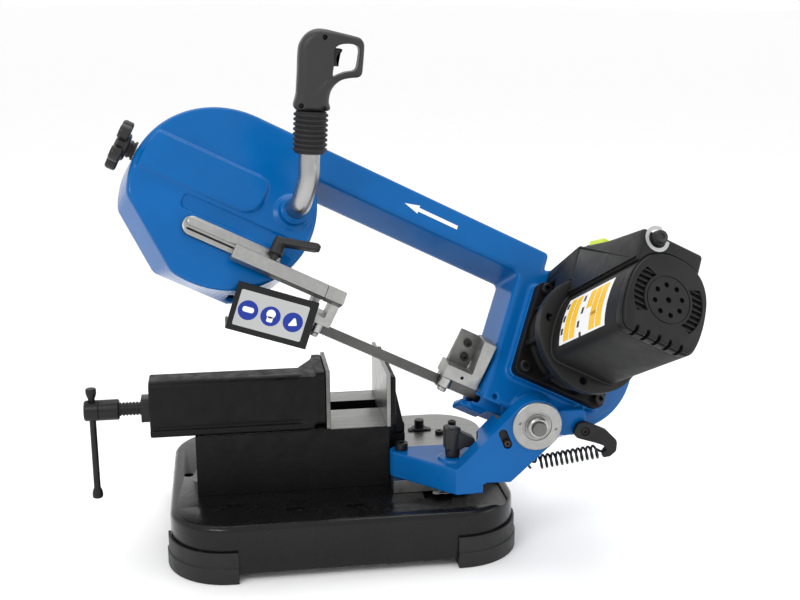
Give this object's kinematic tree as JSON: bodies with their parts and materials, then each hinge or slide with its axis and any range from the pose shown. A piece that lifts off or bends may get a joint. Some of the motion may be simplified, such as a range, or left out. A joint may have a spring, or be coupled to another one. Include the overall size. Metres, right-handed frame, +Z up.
{
  "type": "horizontal metal-cutting band saw",
  "caption": "Benchtop swivel band saw: pressed base on corner feet, screw vise, mitre arm, and a tilted saw bow with blade, guides, motor and grip handle.",
  "frame": {"origin": "under the middle of the object's box, on the surface it stands on", "axes": "+X along the vise screw towards the fixed jaw and the motor, +Y away from the operator, +Z up"},
  "size_m": [0.682, 0.469, 0.6199],
  "materials": {
    "base_paint": "gloss orange-peel black",
    "blue_paint": "gloss orange-peel blue",
    "cast_black": "satin black over rough casting",
    "motor_black": "fine-grained black",
    "guard_black": "semi-gloss black",
    "rubber": "matt",
    "satin_tube": "satin",
    "aluminium": "machined",
    "steel": "ground",
    "black_steel": "black oxide",
    "yellow_cover": "semi-gloss yellow-green"
  },
  "bodies": {
    "base": {"base_casting": "base_paint", "foot_front_left": "rubber", "foot_front_right": "rubber", "foot_rear_left": "rubber", "foot_rear_right": "rubber", "vise_bed": "cast_black", "vise_nut": "steel", "fixed_jaw": "cast_black", "fixed_jaw_plate": "steel", "swivel_table": "steel", "mitre_pivot_bolt": "black_steel", "table_stop_bolt": "black_steel"},
    "vise_jaw": {"moving_jaw": "cast_black", "moving_jaw_plate": "steel", "screw_collar": "black_steel"},
    "vise_screw": {"vise_screw": "black_steel"},
    "tommy_bar": {"tommy_bar": "black_steel"},
    "swivel_arm": {"swivel_arm": "blue_paint", "pivot_shaft": "steel", "pivot_washer": "steel", "pivot_nut": "steel", "return_spring": "black_steel"},
    "swivel_lock_lever": {"swivel_lock_lever": "motor_black"},
    "bow": {"bow_frame": "blue_paint", "rear_cover": "blue_paint", "gearbox_housing": "motor_black", "gearbox_bolt_1": "black_steel", "gearbox_bolt_2": "black_steel", "gearbox_bolt_3": "black_steel", "gearbox_bolt_4": "black_steel", "motor_housing": "motor_black", "motor_end_cap": "motor_black", "control_box": "motor_black", "switch_box": "motor_black", "handle_tube": "satin_tube", "handle_bellows": "rubber", "handle_grip": "motor_black", "guide_track": "aluminium", "rear_guide_block": "steel", "spring_bracket": "black_steel", "saw_blade": "steel"},
    "motor_rotor": {"motor_rotor": "steel"},
    "drive_wheel": {"drive_wheel": "aluminium", "drive_shaft": "steel"},
    "idler_carriage": {"idler_carriage": "steel"},
    "idler_wheel": {"idler_wheel": "aluminium"},
    "tension_knob": {"tension_knob": "motor_black", "tension_screw": "steel"},
    "guide_slide": {"guide_bar": "steel", "front_guide_block": "steel", "blade_guard": "guard_black"},
    "guide_clamp_lever": {"guide_clamp_lever": "motor_black"},
    "front_guide_roller_outer": {"front_guide_roller_outer": "steel"},
    "front_guide_roller_inner": {"front_guide_roller_inner": "steel"},
    "rear_guide_roller_outer": {"rear_guide_roller_outer": "steel"},
    "rear_guide_roller_inner": {"rear_guide_roller_inner": "steel"},
    "trigger": {"trigger": "motor_black"},
    "speed_knob": {"speed_knob": "motor_black"},
    "switch_cover": {"switch_cover": "yellow_cover"},
    "power_button": {"power_button": "motor_black"}
  },
  "joints": [
    {"name": "vise_slide", "type": "slide", "parent": "base", "child": "vise_jaw", "axis": [1, 0, 0], "range_m": [-0.0451, 0.0601]},
    {"name": "vise_screw_turn", "type": "hinge", "parent": "vise_jaw", "child": "vise_screw", "pos_m": [-0.332, 0.024, 0.175], "axis": [1, 0, 0], "range_deg": [-4050, 5400]},
    {"name": "tommy_bar_slide", "type": "slide", "parent": "vise_screw", "child": "tommy_bar", "axis": [0, 0, 1], "range_m": [0, 0.084]},
    {"name": "mitre_swivel", "type": "hinge", "parent": "base", "child": "swivel_arm", "pos_m": [0.036, -0.009, 0.1], "axis": [0, 0, 1], "range_deg": [0, 45]},
    {"name": "swivel_lock", "type": "hinge", "parent": "swivel_arm", "child": "swivel_lock_lever", "pos_m": [0.092, -0.048, 0.14], "axis": [0, 0, 1], "range_deg": [0, 90]},
    {"name": "bow_pivot", "type": "hinge", "parent": "swivel_arm", "child": "bow", "pos_m": [0.185, -0.055, 0.165], "axis": [0, 1, 0], "range_deg": [-15, 18.6], "deforming": ["return_spring"]},
    {"name": "motor_spin", "type": "hinge", "parent": "bow", "child": "motor_rotor", "pos_m": [0.26135, -0.10658, 0.2872], "axis": [0.229, -0.8572, 0.4613], "continuous": true},
    {"name": "drive_spin", "type": "hinge", "parent": "bow", "child": "drive_wheel", "pos_m": [0.23417, 0.022, 0.21444], "axis": [0.229, -0.8572, 0.4613], "continuous": true},
    {"name": "idler_tension_slide", "type": "slide", "parent": "bow", "child": "idler_carriage", "axis": [0.8957, 0, -0.4446], "range_m": [0, 0.008]},
    {"name": "idler_spin", "type": "hinge", "parent": "idler_carriage", "child": "idler_wheel", "pos_m": [-0.16622, 0.022, 0.41319], "axis": [0.229, -0.8572, 0.4613], "continuous": true},
    {"name": "tension_knob_turn", "type": "hinge", "parent": "bow", "child": "tension_knob", "pos_m": [-0.27425, 0.00658, 0.49019], "axis": [0.8957, 0, -0.4446], "range_deg": [-1926, 6]},
    {"name": "guide_slide", "type": "slide", "parent": "bow", "child": "guide_slide", "axis": [0.8957, 0, -0.4446], "range_m": [0, 0.03]},
    {"name": "guide_clamp", "type": "hinge", "parent": "bow", "child": "guide_clamp_lever", "pos_m": [-0.10596, -0.03717, 0.3839], "axis": [0.3811, 0.515, 0.7678], "range_deg": [-60, 30]},
    {"name": "front_guide_roller_outer_spin", "type": "hinge", "parent": "guide_slide", "child": "front_guide_roller_outer", "pos_m": [-0.0657, -0.03151, 0.28283], "axis": [0.4446, 0, 0.8957], "continuous": true},
    {"name": "front_guide_roller_inner_spin", "type": "hinge", "parent": "guide_slide", "child": "front_guide_roller_inner", "pos_m": [-0.0657, -0.01411, 0.28283], "axis": [0.4446, 0, 0.8957], "continuous": true},
    {"name": "rear_guide_roller_outer_spin", "type": "hinge", "parent": "bow", "child": "rear_guide_roller_outer", "pos_m": [0.08568, -0.03151, 0.20769], "axis": [0.4446, 0, 0.8957], "continuous": true},
    {"name": "rear_guide_roller_inner_spin", "type": "hinge", "parent": "bow", "child": "rear_guide_roller_inner", "pos_m": [0.08568, -0.01411, 0.20769], "axis": [0.4446, 0, 0.8957], "continuous": true},
    {"name": "trigger_pull", "type": "slide", "parent": "bow", "child": "trigger", "axis": [-0.9982, 0, 0.0599], "range_m": [0, 0.006], "stiffness_N_per_m": 600},
    {"name": "speed_knob_turn", "type": "hinge", "parent": "bow", "child": "speed_knob", "pos_m": [0.28853, -0.18179, 0.40492], "axis": [0.229, -0.8572, 0.4613], "range_deg": [0, 270]},
    {"name": "switch_cover_lift", "type": "hinge", "parent": "bow", "child": "switch_cover", "pos_m": [0.27495, -0.03124, 0.36407], "axis": [-0.8957, 0, 0.4446], "range_deg": [0, 100]},
    {"name": "power_button_press", "type": "slide", "parent": "bow", "child": "power_button", "axis": [-0.3811, -0.515, -0.7678], "range_m": [0, 0.003], "stiffness_N_per_m": 600}
  ],
  "couplings": [
    {"joint": "vise_slide", "follows": "vise_screw_turn", "m_per_rad": 0.00063662},
    {"joint": "tension_knob_turn", "follows": "idler_tension_slide", "rad_per_m": -4188.8},
    {"joint": "drive_spin", "follows": "motor_spin", "ratio": 0.033333},
    {"joint": "idler_spin", "follows": "motor_spin", "ratio": 0.033333}
  ]
}
